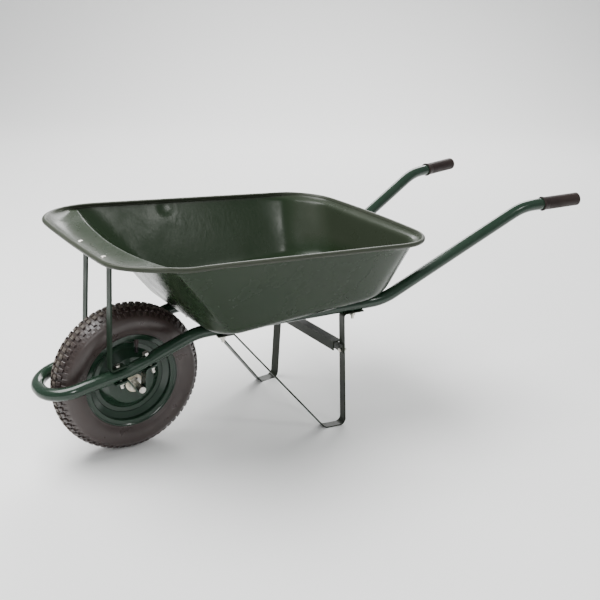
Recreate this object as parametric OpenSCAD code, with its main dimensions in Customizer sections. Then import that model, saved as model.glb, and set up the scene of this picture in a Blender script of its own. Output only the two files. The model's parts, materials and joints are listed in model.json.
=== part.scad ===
// Single-wheel builder's wheelbarrow: one bent frame tube, a pressed tray on top of it, flat-bar legs
// and stays, and a pneumatic wheel that turns on a fixed axle held in two V straps.
// +X points back towards the handles, +Z is up and the ground is Z = 0. Lengths are in millimetres.
// Positions along X are given behind the wheel axle, on a frame drawn before it is pitched up about
// the axle until its feet stand on the ground; placed() pitches it and moves it to the middle.

/* [Wheel] */
// Outside diameter of the tyre
tyre_d = 360; // [356:2:364]
// Widest part of the tyre
tyre_w = 85; // [80:1:88]
// Thickness of the tyre's tread and sidewall
tyre_wall = 6; // [5:0.5:8]
// Diameter of the rim where the tyre's beads sit
bead_seat_d = 203.2; // [203:0.1:204]
// Diameter over the rim's flanges
flange_d = 226; // [224:1:228]
// Thickness of the rim and of the two wheel discs
wheel_sheet = 2; // [1.5:0.5:2.5]
// Height of the bottom of the valve above the wheel's centre, as an angle up from straight back
valve_angle = 76; // [60:1:120]

/* [Axle and bushes] */
// Diameter of the fixed axle
axle_d = 16; // [16:1:16]
// Length of the axle
axle_len = 186; // [184:1:190]
// Gap all round between the axle and the bush bore
bush_gap = 0.08; // [0.05:0.01:0.1]
// Length of the hub tube
hub_len = 90; // [88:1:92]
// Diameter of the bush flange
bush_flange_d = 43; // [40:1:46]

/* [Frame tube] */
// Outside diameter of the frame tube
tube_d = 30; // [30:1:30]
// Wall of the frame tube
tube_wall = 1.5; // [1.2:0.1:2]
// Slope of the front loop
loop_slope = 0.18; // [0.17:0.01:0.19]
// Slope of the handles
handle_slope = 0.5; // [0.48:0.01:0.52]
// Slope of the stretch that carries the tray
deck_slope = 0.0265; // [0.02:0.005:0.03]
// Sideways spread of the tubes, per length, from the tray's front to the grips
spread = 0.1585; // [0.15:0.005:0.165]

/* [Tray] */
// Thickness of the tray's sheet
tray_sheet = 1.2; // [1:0.1:1.5]
// Radius of the rolled edge
bead_r = 6; // [5:0.5:7]
// Half width of the tray's rim at the front
rim_half_front = 291; // [285:1:295]
// Half width of the tray's rim at the back
rim_half_rear = 281; // [275:1:285]
// Height of the rim at its front corners
rim_z_front = 529; // [525:1:535]
// Height of the rim at its back corners
rim_z_rear = 470; // [465:1:475]

/* [Legs and stays] */
// Width of the flat bar of the legs
leg_w = 26; // [25:1:28]
// Thickness of the legs' flat bar
leg_t = 3; // [3:0.5:4]
// Outward lean of the legs, in degrees
leg_lean = 4.6; // [4:0.2:5]
// Width of the front stays
stay_w = 22; // [20:1:24]
// Thickness of the front stays
stay_t = 4; // [3:0.5:4]
// Side of the angle-iron brace between the legs
brace_w = 24; // [22:1:26]

/* [Grips] */
// Length of each grip
grip_len = 115; // [110:1:120]
// Outside diameter of each grip
grip_d = 34; // [33:0.5:36]

/* [Hidden] */
$fn = 48;

// Colours
c_tray = "#3c4b3d";
c_frame = "#22402f";
c_strip = "#3a4034";
c_zinc = "#c9c8c0";
c_grip = "#33261f";
c_tyre = "#3a3030";
c_bush = "#e4dcc6";
c_rubber = "#4a3b38";

// A hair of length that keeps a cut or a joint from being exactly flush
eps = 0.01;

// ---- small helpers ----------------------------------------------------------------------------
function unit(v) = v / norm(v);
function mix(a, b, t) = a + (b - a) * t;
function turn_angle(a, b) = acos(min(1, max(-1, a * b)));
function bezier(a, b, c, d, t) =
    pow(1 - t, 3) * a + 3 * pow(1 - t, 2) * t * b + 3 * (1 - t) * t * t * c + pow(t, 3) * d;

// Children drawn in a frame given by its three axes and its origin
module framed(x, y, z, origin) {
    multmatrix([[x[0], y[0], z[0], origin[0]],
                [x[1], y[1], z[1], origin[1]],
                [x[2], y[2], z[2], origin[2]],
                [0, 0, 0, 1]]) children();
}

// Children drawn with their Z axis along d
module pointing(d, origin) {
    z = unit(d);
    side = abs(z[2]) > 0.9 ? [0, 1, 0] : [0, 0, 1];
    x = unit(cross(side, z));
    framed(x, cross(z, x), z, origin) children();
}

// A flat ring, or a short tube, standing on Z = 0
module ring(r_out, r_in, h) {
    rotate_extrude() translate([r_in, 0]) square([r_out - r_in, h]);
}

module about_y() {
    rotate([-90, 0, 0]) children();
}

module both_sides() {
    children();
    mirror([0, 1, 0]) children();
}

module hex_prism(across_flats, h) {
    cylinder(r = across_flats / sqrt(3), h = h, $fn = 6);
}

module nut(d, across_flats, h) {
    difference() {
        hex_prism(across_flats, h);
        translate([0, 0, -1]) cylinder(d = d, h = h + 2);
    }
}

// ---- route of the frame tube, on the side where Y is positive -----------------------------------
tube_r = tube_d / 2;
tyre_r = tyre_d / 2;
loop_front = -204.6;          // centreline of the loop's front
loop_arm_y = 70.2;            // half spacing of the arms beside the tyre
loop_end = [-134.4, loop_arm_y, 208.1];
kink = [-25, 76.2, loop_end[2] + loop_slope * (loop_end[0] * -1 - 25)];
rise_slope = 0.355;
deck_x = 143;
deck_front = [deck_x, 84, kink[2] + rise_slope * (deck_x - kink[0])];
bend_x = 624;
handle_x = 1021.8;
tube_end_x = 1190;
grip_slope = 0.0268;
function tube_y(x) = deck_front[1] + spread * (x - deck_x);
deck_rear = [bend_x, tube_y(bend_x), deck_front[2] + deck_slope * (bend_x - deck_x)];
handle_top = [handle_x, tube_y(handle_x), deck_rear[2] + handle_slope * (handle_x - bend_x)];
tube_end = [tube_end_x, tube_y(tube_end_x), handle_top[2] + grip_slope * (tube_end_x - handle_x)];
loop_corner = [loop_front, loop_arm_y - 2.5, loop_end[2] + loop_slope * (loop_front - loop_end[0])];

function flipped(p) = [p[0], -p[1], p[2]];
half_route = [tube_end, handle_top, deck_rear, deck_front, kink, loop_corner];
route = concat(half_route, [for (i = [len(half_route) - 1 : -1 : 0]) flipped(half_route[i])]);
// The bore runs a little past both open ends
open_route = [for (i = [0 : len(route) - 1])
    i == 0 || i == len(route) - 1 ? route[i] + [1, 0, 0] : route[i]];
half_bends = [0, 150, 150, 150, 90, 66];
bends = concat(half_bends, [for (i = [len(half_bends) - 1 : -1 : 0]) half_bends[i]]);

// Turns the frame about the axle so that its feet come up to the ground
frame_pitch = 1.1;

// Middle of the barrow's length, behind the axle, once the frame is pitched
grip_wall = 4;
function pitched_x(x, z) = x * cos(frame_pitch) - (z - tyre_r) * sin(frame_pitch);
loop_end_x = pitched_x(loop_front, loop_corner[2]) - tube_r;
grip_end_x = pitched_x(tube_end_x + grip_wall, tube_end[2]) + grip_d / 2 * sin(frame_pitch);
mid_x = (loop_end_x + grip_end_x) / 2;

module pitched(a) {
    translate([0, 0, tyre_r]) rotate([0, -a, 0]) translate([0, 0, -tyre_r]) children();
}
module placed() {
    translate([-mid_x, 0, 0]) pitched(frame_pitch) children();
}
// Height of the ground as the unpitched frame sees it
function ground_z(x) = tyre_r - tyre_r / cos(frame_pitch) - x * tan(frame_pitch);

// Length of straight that a bend at point i of a route takes away on each side
function bend_cut(p, r, i) = (i == 0 || i == len(p) - 1) ? 0 :
    r[i] * tan(turn_angle(unit(p[i] - p[i - 1]), unit(p[i + 1] - p[i])) / 2);

// Round bar along a route of points, rounded at each inner point. The straights are a hair thinner
// than the bends and reach a little way into them, so that every joint between them is a clean step.
bar_step = 0.1;
bar_lap = 0.5;
// Turns each straight's seam away from the seams of the bends
bar_seam = 20;
module bent_bar(p, r, bar_r) {
    last = len(p) - 1;
    for (i = [0 : last - 1]) {
        d = unit(p[i + 1] - p[i]);
        start = p[i] + d * (i == 0 ? 0 : bend_cut(p, r, i) - bar_lap);
        end = p[i + 1] - d * (i + 1 == last ? 0 : bend_cut(p, r, i + 1) - bar_lap);
        pointing(d, start) rotate([0, 0, bar_seam])
            cylinder(r = bar_r - bar_step, h = norm(end - start));
    }
    for (i = [1 : last - 1]) {
        d1 = unit(p[i] - p[i - 1]);
        d2 = unit(p[i + 1] - p[i]);
        inward = unit(d2 - d1 * (d1 * d2));
        start = p[i] - d1 * bend_cut(p, r, i);
        framed(-inward, d1, cross(d1, inward), start + inward * r[i])
            rotate_extrude(angle = turn_angle(d1, d2)) translate([r[i], 0]) circle(bar_r);
    }
}

// One edge of a flat bar that follows a route of [x, z] points, a distance off to the route's left
arc_step = 8;
function left_of(d) = [-d[1], d[0]];
function swung(d, a) = [d[0] * cos(a) - d[1] * sin(a), d[0] * sin(a) + d[1] * cos(a)];
function strip_edge(p, r, off) = [for (i = [0 : len(p) - 1])
    let (d1 = unit(p[max(i, 1)] - p[max(i, 1) - 1]),
         d2 = unit(p[min(i, len(p) - 2) + 1] - p[min(i, len(p) - 2)]),
         turn = turn_angle(d1, d2), s = cross(d1, d2) < 0 ? -1 : 1,
         centre = p[i] - d1 * bend_cut(p, r, i) + s * r[i] * left_of(d1),
         n = turn < 0.1 ? 0 : ceil(turn / arc_step))
    each [for (k = [0 : n]) centre + left_of(swung(d1, n == 0 ? 0 : s * turn * k / n)) * (off - s * r[i])]];

// Flat bar along a route of [x, z] points, its width centred on Y = 0; r are middle bend radii
module bent_strip(p, r, w, t) {
    left = strip_edge(p, r, t / 2);
    right = strip_edge(p, r, -t / 2);
    rotate([90, 0, 0]) linear_extrude(height = w, center = true)
        polygon(concat(left, [for (i = [len(right) - 1 : -1 : 0]) right[i]]));
}

// ---- frames that the fasteners share ----------------------------------------------------------
// On the tube's centreline under the tray, Z square to the tray's floor
module on_deck(x, side) {
    translate([x, side * tube_y(x), deck_front[2] + deck_slope * (x - deck_x)])
        rotate([0, -atan(deck_slope), 0]) children();
}
tray_bolt_xs = [206, 541];
module at_tray_bolts() {
    for (x = tray_bolt_xs, side = [-1, 1]) on_deck(x, side) children();
}

// On the tube's centreline at the front or back strap bolt, Z square to the tube
strap_xs = [-47, 23];
strap_slopes = [loop_slope, rise_slope];
function arm_y(x) = mix(loop_arm_y, kink[1], (x - loop_end[0]) / (kink[0] - loop_end[0]));
function strap_bolt_y(i) = i == 0 ? arm_y(strap_xs[0])
    : mix(kink[1], deck_front[1], (strap_xs[1] - kink[0]) / (deck_x - kink[0]));
function strap_bolt_z(i) = kink[2] + strap_slopes[i] * (strap_xs[i] - kink[0]);
module at_strap_bolt(i, side) {
    translate([strap_xs[i], side * strap_bolt_y(i), strap_bolt_z(i)])
        rotate([0, -atan(strap_slopes[i]), 0]) children();
}
module at_strap_bolts() {
    for (i = [0, 1], side = [-1, 1]) at_strap_bolt(i, side) children();
}

// ---- frame tube and grips ---------------------------------------------------------------------
bolt_d = 8;
hole_d = 8.6;
module frame_tube() {
    color(c_frame) placed() difference() {
        bent_bar(route, bends, tube_r);
        bent_bar(open_route, bends, tube_r - tube_wall);
        at_tray_bolts() translate([0, 0, -tube_d]) cylinder(d = hole_d, h = 2 * tube_d);
        at_strap_bolts() translate([0, 0, -tube_d]) cylinder(d = hole_d, h = 2 * tube_d);
    }
}

grip_dir = unit(tube_end - handle_top);
grip_bore = tube_r + 0.05;
grip_cap = grip_wall / grip_dir[0];
module grip() {
    // Z runs from the grip's closed outer end back down the tube
    pointing(-grip_dir, tube_end + grip_dir * grip_cap) rotate_extrude() polygon(concat(
        [for (a = [0 : 15 : 90]) [grip_d / 2 - 3 + 3 * sin(a), 3 - 3 * cos(a)]],
        [[grip_d / 2, grip_len - 2.5], [grip_d / 2 + 2.5, grip_len - 2.5],
         [grip_d / 2 + 2.5, grip_len], [grip_bore, grip_len], [grip_bore, grip_cap],
         [0, grip_cap], [0, 0]]));
}
module right_grip() {
    color(c_grip) placed() grip();
}
module left_grip() {
    color(c_grip) placed() mirror([0, 1, 0]) grip();
}

// ---- tray --------------------------------------------------------------------------------------
// Half outlines from the middle of the front to the middle of the back, as [x, y]
function corner(a, k, b, n) = [for (i = [0 : n - 1])
    bezier(a, mix(a, k, 0.55), mix(b, k, 0.55), b, i / n)];
function stretch(a, b, n) = [for (i = [0 : n - 1]) mix(a, b, i / n)];
function half_outline(xf, wf, cut_f, cut_fs, xr, wr, cut_r, cut_rs, bow) =
    let (f = [xf, wf], b = [xr, wr], d = unit(b - f),
         f0 = [xf, wf - cut_f], f1 = f + d * cut_fs, b0 = b - d * cut_rs, b1 = [xr, wr - cut_r],
         flat = concat(stretch([xf, 0], f0, 3), corner(f0, f, f1, 8), stretch(f1, b0, 6),
                       corner(b0, b, b1, 7), stretch(b1, [xr, 0], 3), [[xr, 0]]))
    [for (q = flat) [q[0] + (q[0] > (xf + xr) / 2 ? bow * (1 - pow(q[1] / wr, 2)) : 0), q[1]]];

rim_x_front = -105;
rim_x_rear = 691;
rim_half = half_outline(rim_x_front, rim_half_front, 122, 172, rim_x_rear, rim_half_rear, 101, 102, 17);
floor_half = half_outline(146, 194, 66, 66, 657, 194, 118, 118, 8);
function whole(h) = concat(h, [for (i = [len(h) - 2 : -1 : 1]) [h[i][0], -h[i][1]]]);
rim_plan = whole(rim_half);
floor_plan = whole(floor_half);
stations = len(rim_plan);

rim_pitch = (rim_z_rear - rim_z_front) / (rim_x_rear - rim_x_front);
front_dip = 9.6;
function near_front(x) = min(1, max(0, 1 - (x - rim_x_front) / 200));
function rim_z(q) = rim_z_front + rim_pitch * (q[0] - rim_x_front)
    - front_dip * near_front(q[0]) * max(0, 1 - pow(q[1] / rim_half_front, 2));
function floor_z(x) = deck_front[2] + deck_slope * (x - deck_x)
    + (tube_r + tray_sheet) * sqrt(1 + pow(deck_slope, 2));
function fold_x(y) = -18 + 22 * pow(y / 265, 2);
function fold_z(y) = 506 + 12 * pow(y / 265, 2);

// The rolled edge stands out from the wall on a narrow flange round the back
rear_flange = 17;
function flange_at(x) = rear_flange * min(1, max(0, (x - 560) / 90));

// Where the wall meets the front lip, or just below the rolled edge elsewhere
wall_top = 14;
function fold_point(i) =
    let (q = rim_plan[i], f = floor_plan[i], lip = fold_x(q[1]) - q[0],
         rim = [q[0], q[1], rim_z(q)], foot = [f[0], f[1], floor_z(f[0])])
    lip > wall_top ? [fold_x(q[1]), q[1] * (1 - 0.0005 * lip), fold_z(q[1])]
    : rim + unit(foot - rim) * wall_top - flange_at(q[0]) * [out_of(i)[0], out_of(i)[1], 0];

lip_full = 85;
dish_z = 499;
function dish_at(y) = dish_z + 13 * min(1, pow(y / 200, 4));
fillet = 32;
// Inner surface of the sheet at station i, from the floor's flat to just inside the rolled edge
function sheet_line(i) =
    let (q = rim_plan[i], f = floor_plan[i], rim = [q[0], q[1], rim_z(q)],
         foot = [f[0], f[1], floor_z(f[0])], fold = fold_point(i),
         out = outward(floor_plan, i), up = unit(fold - foot),
         flat = foot - fillet * [out[0], out[1], deck_slope * out[0]], wall = foot + fillet * up,
         dish = min(1, max(0, fold_x(q[1]) - q[0] - wall_top) / (lip_full - wall_top)),
         a = mix(fold, rim, 0.35), b = mix(fold, rim, 0.72))
    concat([for (k = [0 : 4]) bezier(flat, mix(flat, foot, 2 / 3), mix(wall, foot, 2 / 3), wall, k / 4)],
           [mix(wall, fold, 0.5), fold,
            [a[0], a[1], mix(a[2], dish_at(q[1]), dish)], [b[0], b[1], mix(b[2], dish_at(q[1]), dish)]]);

// Direction square to a plan outline at station i, pointing out of the tray
tray_middle = [300, 0];
function outward(plan, i) =
    let (a = plan[(i + stations - 1) % stations], b = plan[(i + 1) % stations],
         o = unit([b[1] - a[1], a[0] - b[0]]))
    o * (plan[i] - tray_middle) > 0 ? o : -o;
function out_of(i) = outward(rim_plan, i);
function run(i, v) = v[0] * out_of(i)[0] + v[1] * out_of(i)[1];

// Outer surface: each point moved one sheet thickness square to the line, away from the load
function under(i, line, k) =
    let (a = line[max(0, k - 1)], b = line[min(len(line) - 1, k + 1)], d = b - a,
         h = run(i, d), s = unit([h, d[2]]), o = out_of(i))
    line[k] + tray_sheet * [o[0] * s[1], o[1] * s[1], -s[0]];

roll_steps = 8;
// Rolled edge: most of a circle, from the sheet's inner face round to its outer face
function rolled_edge(i, line) =
    let (q = rim_plan[i], centre = [q[0], q[1], rim_z(q)], last = line[len(line) - 1],
         d = centre - last, lean = atan2(d[2], run(i, d)), o = out_of(i),
         first = lean + 90, sweep = 360 - acos(1 - tray_sheet / bead_r))
    [for (k = [0 : roll_steps]) let (a = first - sweep * k / roll_steps)
        centre + bead_r * [o[0] * cos(a), o[1] * cos(a), sin(a)]];

function section(i) = let (line = sheet_line(i))
    concat(line, rolled_edge(i, line), [for (k = [len(line) - 1 : -1 : 0]) under(i, line, k)]);
section_len = 9 + roll_steps + 1 + 9;

lip_bolt_x = -64;
lip_bolt_y = 67;
lip_bolt_d = 6;
module at_lip_bolts() {
    for (side = [-1, 1]) translate([lip_bolt_x, side * lip_bolt_y, dish_z]) children();
}

module tray() {
    pts = [for (i = [0 : stations - 1]) each section(i)];
    skin = [for (i = [0 : stations - 1], k = [0 : section_len - 2])
        let (j = (i + 1) % stations, a = i * section_len + k, b = j * section_len + k)
        each [[a, a + 1, b + 1], [a, b + 1, b]]];
    inside = [for (i = [0 : stations - 1]) i * section_len];
    outside = [for (i = [stations - 1 : -1 : 0]) i * section_len + section_len - 1];
    color(c_tray) placed() difference() {
        polyhedron(pts, concat(skin, [inside, outside]), convexity = 8);
        at_tray_bolts() cylinder(d = hole_d, h = 2 * tube_d);
        at_lip_bolts() translate([0, 0, -10]) cylinder(d = lip_bolt_d + 0.6, h = 20);
    }
}

// ---- legs and their brace ---------------------------------------------------------------------
plan_angle = atan(spread);
leg_back_x = 512;
foot_front_x = 457;
leg_front_x = 230;
leg_hinge_x = 380;
ear_gap = 0.3;
function deck_under(x) = deck_front[2] + deck_slope * (x - deck_x) - tube_r - leg_t / 2;
function along(x) = (x - leg_hinge_x) / cos(plan_angle);
foot_drop = leg_w / 2 * sin(leg_lean);
ear_front_x = 190;
ear_rear_x = 566;
hinge_z = deck_front[2] + deck_slope * (leg_hinge_x - deck_x);
// Height in the leaning plane that puts the foot's underside just below the ground at x
function foot_v(x) =
    hinge_z - (hinge_z - ground_z(x) - leg_t / 2 * cos(leg_lean) + foot_drop) / cos(leg_lean);
leg_route = [[along(leg_front_x) - 16, deck_under(leg_front_x) - ear_gap],
             [along(leg_front_x), deck_under(leg_front_x) - ear_gap],
             [along(foot_front_x), foot_v(foot_front_x)], [along(leg_back_x), foot_v(leg_back_x)],
             [along(leg_back_x), deck_under(leg_back_x) - ear_gap],
             [along(leg_back_x) + 16, deck_under(leg_back_x) - ear_gap]];

// Frame of the leaning leg on the side where Y is positive: X along the tube, Y out of the leg's plane
module on_leg() {
    translate([leg_hinge_x, tube_y(leg_hinge_x), hinge_z]) rotate([0, 0, plan_angle])
        rotate([leg_lean, 0, 0]) translate([0, 0, -hinge_z]) children();
}

module ear(x0, x1, bolt_x) {
    on_deck(bolt_x, 1) rotate([0, 0, plan_angle])
        translate([(x0 - bolt_x) / cos(plan_angle), -leg_w / 2, -tube_r - leg_t])
            cube([(x1 - x0) / cos(plan_angle), leg_w, leg_t]);
}

brace_bolt_v = 185;
brace_bolt_d = 6;
module leg() {
    difference() {
        union() {
            on_leg() bent_strip(leg_route, [0, 8, 16, 16, 8, 0], leg_w, leg_t);
            ear(ear_front_x, leg_front_x - 5, tray_bolt_xs[0]);
            ear(leg_back_x + 5, ear_rear_x, tray_bolt_xs[1]);
        }
        for (x = tray_bolt_xs)
            on_deck(x, 1) translate([0, 0, -2 * tube_d]) cylinder(d = hole_d, h = 2 * tube_d);
        at_brace_bolt() translate([0, 0, -20]) cylinder(d = brace_bolt_d + 0.6, h = 40);
        pitched(-frame_pitch) translate([0, 0, -20]) cube([1200, 600, 20]);
    }
}
// On the leg's front face at the brace bolt, Z pointing to the front
module at_brace_bolt() {
    on_leg() translate([along(leg_back_x) - leg_t / 2, 0, brace_bolt_v]) rotate([0, -90, 0]) children();
}
module right_leg() {
    color(c_strip) placed() leg();
}
module left_leg() {
    color(c_strip) placed() mirror([0, 1, 0]) leg();
}

brace_t = 3;
brace_half = 130;
brace_x = leg_back_x - 11;
// The bolts pass through the lower part of the upright leaf
brace_low = 7;
module leg_brace() {
    color(c_strip) placed() {
        difference() {
            union() {
                // Front leaf and top leaf of the angle
                translate([brace_x - brace_t, -brace_half, brace_bolt_v - brace_low])
                    cube([brace_t, 2 * brace_half, brace_w]);
                translate([brace_x - brace_t, -brace_half, brace_bolt_v + brace_w - brace_low - brace_t])
                    cube([brace_w, 2 * brace_half, brace_t]);
                both_sides() brace_tab();
            }
            both_sides() at_brace_bolt() translate([0, 0, -20]) cylinder(d = brace_bolt_d + 0.6, h = 40);
        }
    }
}
// Plate welded under the top leaf, lying on the leg's front face
brace_tab_in = 75;
brace_tab_out = 12;
module brace_tab() {
    at_brace_bolt() rotate([0, 0, 90]) translate([-brace_tab_in, brace_low + 1 - brace_w, 0])
        cube([brace_tab_in + brace_tab_out, brace_w - 2, brace_t]);
}

// ---- front stays ------------------------------------------------------------------------------
stay_top_z = dish_z - tray_sheet - 0.5 - stay_t / 2;
stay_lean = atan((strap_bolt_y(0) - lip_bolt_y) / (stay_top_z - strap_bolt_z(0)));
stay_tab_z = tube_r + stay_t / 2;
stay_bend_x = -69;
function tab_z(x) = strap_bolt_z(0) + loop_slope * (x - strap_xs[0]) + stay_tab_z / cos(atan(loop_slope));
module stay() {
    top_x = lip_bolt_x + 13;
    difference() {
        translate([0, strap_bolt_y(0), strap_bolt_z(0)]) rotate([stay_lean, 0, 0])
            translate([0, 0, -strap_bolt_z(0)])
                bent_strip([[-34, tab_z(-34)], [stay_bend_x, tab_z(stay_bend_x)],
                            [top_x, stay_top_z + 0.2], [top_x - 28, stay_top_z + 0.2]],
                           [0, 6, 6, 0], stay_w, stay_t);
        at_strap_bolt(0, 1) cylinder(d = hole_d, h = 2 * tube_d);
        at_lip_bolts() translate([0, 0, -12]) cylinder(d = lip_bolt_d + 0.6, h = 20);
    }
}
module right_stay() {
    color(c_frame) placed() stay();
}
module left_stay() {
    color(c_frame) placed() mirror([0, 1, 0]) stay();
}

// ---- axle, straps and what holds the axle ------------------------------------------------------
axle_r = axle_d / 2;
strap_t = 4;
strap_w = 25;
strap_y = 77;
axle_point = [0, tyre_r];
strap_bend_r = axle_r + 0.05 + strap_t / 2;
function ear_z(i, x) = strap_bolt_z(i) + strap_slopes[i] * (x - strap_xs[i])
    - (tube_r + strap_t / 2) / cos(atan(strap_slopes[i]));
// Direction from p that grazes the circle round the axle; turn is 1 for its left side, -1 for its right
function grazing(p, turn) = let (d = axle_point - p, a = asin(strap_bend_r / norm(d)))
    [d[0] * cos(a) + turn * d[1] * sin(a), d[1] * cos(a) - turn * d[0] * sin(a)];
function crossing(p, u, q, v) =
    let (w = q - p, t = (w[0] * v[1] - w[1] * v[0]) / (u[0] * v[1] - u[1] * v[0]))
    p + t * u;
strap_front = [-31, ear_z(0, -31)];
strap_back = [14, ear_z(1, 14)];
strap_low = crossing(strap_front, grazing(strap_front, 1), strap_back, grazing(strap_back, -1));
module strap() {
    difference() {
        translate([0, strap_y, 0])
            bent_strip([[-61, ear_z(0, -61)], strap_front, strap_low, strap_back, [40, ear_z(1, 40)]],
                       [0, 5, strap_bend_r, 5, 0], strap_w, strap_t);
        for (i = [0, 1])
            at_strap_bolt(i, 1) translate([0, 0, -2 * tube_d]) cylinder(d = hole_d, h = 2 * tube_d);
    }
}
module right_axle_strap() {
    color(c_frame) placed() strap();
}
module left_axle_strap() {
    color(c_frame) placed() mirror([0, 1, 0]) strap();
}

module at_wheel() {
    translate([0, 0, tyre_r]) children();
}

bush_flange_t = 4;
washer_t = 2;
bush_end = hub_len / 2 + bush_flange_t;
washer_y = bush_end + 0.4;
pin_d = 3.2;
pin_y = washer_y + washer_t + pin_d / 2 + 0.2;
module axle() {
    color(c_zinc) placed() at_wheel() difference() {
        about_y() translate([0, 0, -axle_len / 2]) rotate_extrude() polygon(
            [[0, 0], [axle_r - 1, 0], [axle_r, 1], [axle_r, axle_len - 1], [axle_r - 1, axle_len],
             [0, axle_len]]);
        both_sides() translate([0, pin_y, -axle_d]) cylinder(d = pin_d + 0.3, h = 2 * axle_d);
    }
}
module axle_washers() {
    color(c_zinc) placed() at_wheel() both_sides() translate([0, washer_y, 0]) about_y()
        ring(15, axle_r + 0.3, washer_t);
}
// Split pin: a round stem with an eye above the axle and two legs spread below it
module split_pins() {
    color(c_zinc) placed() at_wheel() both_sides() translate([0, pin_y, 0]) {
        translate([0, 0, -axle_r - 2]) cylinder(d = pin_d, h = axle_d + 3);
        translate([0, 0, axle_r + 2.4]) rotate([90, 0, 0])
            rotate_extrude() translate([2.4, 0]) circle(d = 1.6);
        for (tilt = [-35, 35]) translate([0, 0, -axle_r - 1.5]) rotate([0, 180 + tilt, 0])
            cylinder(d = 1.6, h = 8);
    }
}

// ---- fasteners ---------------------------------------------------------------------------------
hex_af = 13;
head_h = 5.3;
nut_h = 6.5;
tail = 10;
module strap_bolts() {
    // The front pair also clamp the stays
    color(c_zinc) placed() for (i = [0, 1], side = [-1, 1]) at_strap_bolt(i, side) {
        top = tube_r + (i == 0 ? stay_t : 0) + 0.4;
        translate([0, 0, top]) hex_prism(hex_af, head_h);
        translate([0, 0, -tube_r - strap_t - nut_h - tail]) cylinder(d = bolt_d, h = top + tube_r + strap_t
            + nut_h + tail + eps);
    }
}
module strap_nuts() {
    color(c_zinc) placed() at_strap_bolts()
        translate([0, 0, -tube_r - strap_t - 0.3 - nut_h]) nut(bolt_d, hex_af, nut_h);
}

plain_washer_t = 1.6;
module tray_bolts() {
    color(c_zinc) placed() at_tray_bolts() {
        top = tube_r + tray_sheet + 0.2;
        // Low domed head inside the tray
        translate([0, 0, top]) rotate_extrude() polygon(concat([[0, 0], [9.5, 0]],
            [for (a = [0 : 15 : 90]) [9.5 * cos(a), 0.6 + 3.6 * sin(a)]]));
        translate([0, 0, -tube_r - leg_t - plain_washer_t - nut_h - tail])
            cylinder(d = bolt_d, h = top + tube_r + leg_t + plain_washer_t + nut_h + tail + eps);
    }
}
module tray_washers() {
    color(c_zinc) placed() at_tray_bolts()
        translate([0, 0, -tube_r - leg_t - 0.2 - plain_washer_t])
            ring(8.5, bolt_d / 2 + 0.2, plain_washer_t);
}
module tray_nuts() {
    color(c_zinc) placed() at_tray_bolts()
        translate([0, 0, -tube_r - leg_t - 0.4 - plain_washer_t - nut_h]) nut(bolt_d, hex_af, nut_h);
}

small_af = 10;
small_nut_h = 5;
lip_stack = tray_sheet + 0.5 + stay_t + 1.2;
module lip_bolts() {
    color(c_zinc) placed() at_lip_bolts() {
        translate([0, 0, 0.7]) rotate_extrude() polygon(concat([[0, 0], [6, 0]],
            [for (a = [0 : 15 : 90]) [6 * cos(a), 0.5 + 2.8 * sin(a)]]));
        translate([0, 0, -lip_stack - small_nut_h - 4])
            cylinder(d = lip_bolt_d, h = lip_stack + small_nut_h + 4.7 + eps);
    }
}
module lip_nuts() {
    color(c_zinc) placed() at_lip_bolts()
        translate([0, 0, -lip_stack - small_nut_h]) nut(lip_bolt_d, small_af, small_nut_h);
}

module brace_bolts() {
    color(c_zinc) placed() both_sides() at_brace_bolt() {
        translate([0, 0, brace_t + 0.2]) hex_prism(small_af, 4);
        translate([0, 0, -leg_t - small_nut_h - 4.2])
            cylinder(d = brace_bolt_d, h = brace_t + leg_t + small_nut_h + 4.4 + eps);
    }
}
module brace_nuts() {
    color(c_zinc) placed() both_sides() at_brace_bolt()
        translate([0, 0, -leg_t - 0.2 - small_nut_h]) nut(brace_bolt_d, small_af, small_nut_h);
}

// ---- wheel -------------------------------------------------------------------------------------
// Outlines are [radius, distance from the wheel's middle plane], drawn for one side and mirrored
seat_r = bead_seat_d / 2;
flange_r = flange_d / 2;
belly_r = 142;
belly_low = 44;
function belly(a, w, high, low) = [belly_r + (sin(a) > 0 ? high : low) * sin(a), w * cos(a)];
// Closed outline of a part that is the same on both sides: its outer line and its inner line, both
// from the middle plane outwards
function flip_side(q) = [q[0], -q[1]];
function two_sided(outer, inner) = let (m = len(outer) - 1, n = len(inner) - 1)
    concat([for (i = [m : -1 : 0]) outer[i]], [for (i = [1 : m]) flip_side(outer[i])],
           [for (i = [n : -1 : 0]) flip_side(inner[i])], [for (i = [1 : n]) inner[i]]);

module tyre() {
    w = tyre_w / 2;
    wall = tyre_wall;
    outer = concat([[tyre_r, 0]], [for (a = [82.5 : -7.5 : -37.5]) belly(a, w, tyre_r - belly_r, belly_low)],
        [[flange_r + 0.6, 32], [flange_r + 0.6, 30.5], [flange_r - 2.8, 29], [seat_r + 0.2, 29]]);
    inner = concat([[tyre_r - wall, 0]],
        [for (a = [82.5 : -7.5 : -45]) belly(a, w - wall, tyre_r - wall - belly_r, belly_low - wall)],
        [[seat_r + 0.2, 21]]);
    color(c_tyre) placed() at_wheel() about_y() rotate_extrude() polygon(two_sided(outer, inner));
}

air_r = 139;
air_w = 33;
air_s = 32.5;
module inner_tube() {
    color(c_rubber) placed() at_wheel() about_y() rotate_extrude() difference() {
        polygon([for (a = [0 : 10 : 350]) [air_r + air_s * cos(a), air_w * sin(a)]]);
        polygon([for (a = [0 : 10 : 350]) [air_r + (air_s - 2) * cos(a), (air_w - 2) * sin(a)]]);
    }
}

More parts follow.
